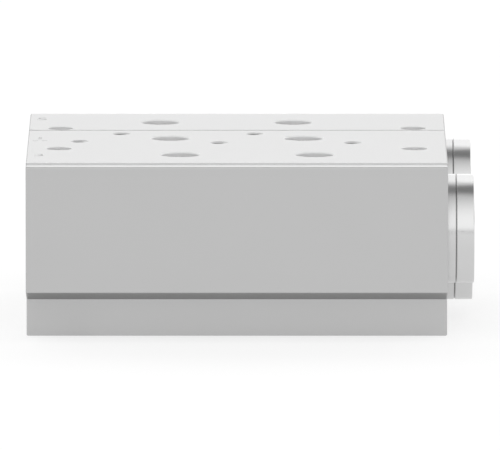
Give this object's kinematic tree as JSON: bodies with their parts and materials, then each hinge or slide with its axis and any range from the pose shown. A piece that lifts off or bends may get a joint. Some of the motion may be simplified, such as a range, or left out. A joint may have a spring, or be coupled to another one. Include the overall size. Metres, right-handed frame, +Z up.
{
  "type": "hydraulic manifold block",
  "caption": "Extruded light-alloy manifold block with through galleries, two valve stations on top, open threaded ports at one end and blanking plugs at the other.",
  "frame": {"origin": "middle of the foot's underside, under the centre of the block's length and depth", "axes": "+X along the galleries towards the blanking plugs, +Y from the front side to the rear side with the marking groove, +Z up through the valve face"},
  "size_m": [0.1116, 0.106, 0.045],
  "materials": {
    "block": "satin, extruded and clear anodised",
    "plug": "turned and nickel plated, bright",
    "ring": "turned, bright"
  },
  "bodies": {
    "root": {"manifold_block": "block", "sealing_ring_front": "ring", "blanking_plug_front": "plug", "sealing_ring_middle": "ring", "blanking_plug_middle": "plug", "sealing_ring_rear": "ring", "blanking_plug_rear": "plug"}
  },
  "joints": []
}
